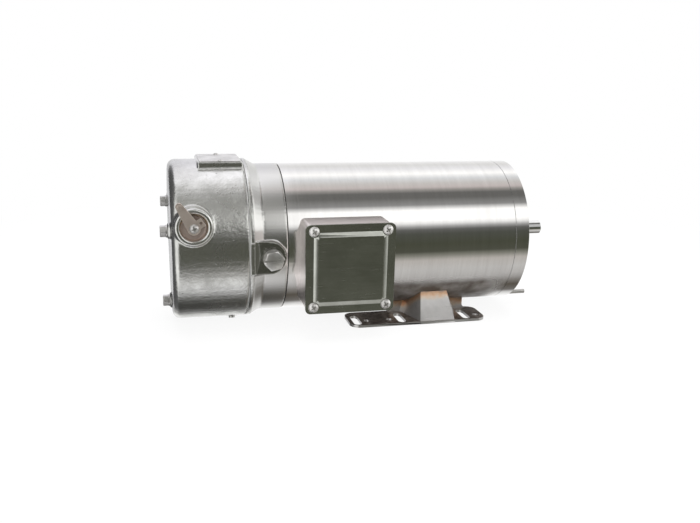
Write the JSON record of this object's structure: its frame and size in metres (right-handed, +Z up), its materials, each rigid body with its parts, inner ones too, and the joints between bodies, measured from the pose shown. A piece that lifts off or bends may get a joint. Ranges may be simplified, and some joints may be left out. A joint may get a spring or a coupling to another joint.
{
  "type": "wash-down brakemotor",
  "caption": "Stainless wash-down motor with a C-face and feet, side terminal box, and a spring-set disc brake under a cast cover with a release lever.",
  "frame": {"origin": "centre of the C-face, on the shaft axis", "axes": "+X along the drive shaft, out of the C-face; +Z up, away from the feet; terminal box on the -Y side"},
  "size_m": [0.4538, 0.2039, 0.1793],
  "materials": {
    "brushed_stainless": "brushed round the frame",
    "cast_stainless": "satin casting",
    "box_stainless": "matte",
    "foot_stainless": "mill finish with weld tint",
    "core_steel": "laminated",
    "copper": "varnished wire",
    "bright_fastener": "bright",
    "rubber": "matte",
    "gasket_grey": "matte",
    "phenolic": "matte",
    "green_screw": "dyed",
    "bearing_steel": "ground",
    "cage_brass": "pressed",
    "brake_steel": "machined",
    "friction": "matte lining",
    "shaft_steel": "ground",
    "lever_stainless": "stamped",
    "plate_stainless": "etched, bare",
    "end_ring_aluminium": "cast"
  },
  "bodies": {
    "motor": {"frame_shell": "brushed_stainless", "drive_endbell": "brushed_stainless", "brake_endbell": "cast_stainless", "stator_core": "core_steel", "stator_winding": "copper", "tie_bolts": "bright_fastener", "conduit_box": "box_stainless", "box_gasket": "gasket_grey", "box_cover": "box_stainless", "box_cover_screws": "bright_fastener", "terminal_block": "phenolic", "ground_screw": "green_screw", "foot_front": "foot_stainless", "foot_rear": "foot_stainless", "drive_bearing_outer": "bearing_steel", "rear_bearing_outer": "bearing_steel", "preload_spring": "bearing_steel", "shaft_seal": "rubber", "friction_plate": "brake_steel", "magnet_body": "brake_steel", "brake_coil": "copper", "brake_springs": "brake_steel", "brake_spacers": "brake_steel", "brake_mount_bolts": "bright_fastener", "release_bracket": "brake_steel", "brake_cover": "cast_stainless", "cover_gasket": "gasket_grey", "cover_bolts": "bright_fastener", "cover_washers": "bright_fastener", "release_bush": "cage_brass", "nameplate": "plate_stainless", "nameplate_screws": "bright_fastener", "inlet_plug": "bright_fastener", "inlet_washer": "bright_fastener", "cover_drain": "bright_fastener", "drive_drain": "bright_fastener"},
    "rotor": {"motor_shaft": "shaft_steel", "rotor_core": "core_steel", "rotor_end_rings": "end_ring_aluminium", "drive_bearing_inner": "bearing_steel", "rear_bearing_inner": "bearing_steel", "shaft_slinger": "rubber", "brake_hub": "brake_steel", "hub_key": "brake_steel", "friction_disc": "friction", "hub_ring": "brake_steel"},
    "drive_balls": {"drive_balls": "bearing_steel", "drive_cage": "cage_brass"},
    "rear_balls": {"rear_balls": "bearing_steel", "rear_cage": "cage_brass"},
    "pressure_plate": {"pressure_plate": "brake_steel", "release_pins": "bright_fastener", "release_bridge": "brake_steel", "release_nuts": "bright_fastener"},
    "release": {"release_shaft": "shaft_steel", "release_lever": "lever_stainless", "lever_screw": "bright_fastener"}
  },
  "joints": [
    {"name": "rotor_spin", "type": "hinge", "parent": "motor", "child": "rotor", "pos_m": [0, 0, 0], "axis": [1, 0, 0], "continuous": true},
    {"name": "drive_cage_spin", "type": "hinge", "parent": "motor", "child": "drive_balls", "pos_m": [-0.0215, 0, 0], "axis": [1, 0, 0], "continuous": true},
    {"name": "rear_cage_spin", "type": "hinge", "parent": "motor", "child": "rear_balls", "pos_m": [-0.2864, 0, 0], "axis": [1, 0, 0], "continuous": true},
    {"name": "lever_turn", "type": "hinge", "parent": "motor", "child": "release", "pos_m": [-0.3684, 0, 0.031], "axis": [0, 1, 0], "range_deg": [0, 60], "stiffness_Nm_per_rad": 0.5, "springref_deg": -11.46},
    {"name": "plate_slide", "type": "slide", "parent": "motor", "child": "pressure_plate", "axis": [-1, 0, 0], "range_m": [0, 0.0008], "deforming": ["brake_springs"]}
  ],
  "couplings": [
    {"joint": "drive_cage_spin", "follows": "rotor_spin", "ratio": 0.3969},
    {"joint": "rear_cage_spin", "follows": "rotor_spin", "ratio": 0.3818},
    {"joint": "lever_turn", "follows": "plate_slide", "rad_per_m": 1308.9}
  ]
}
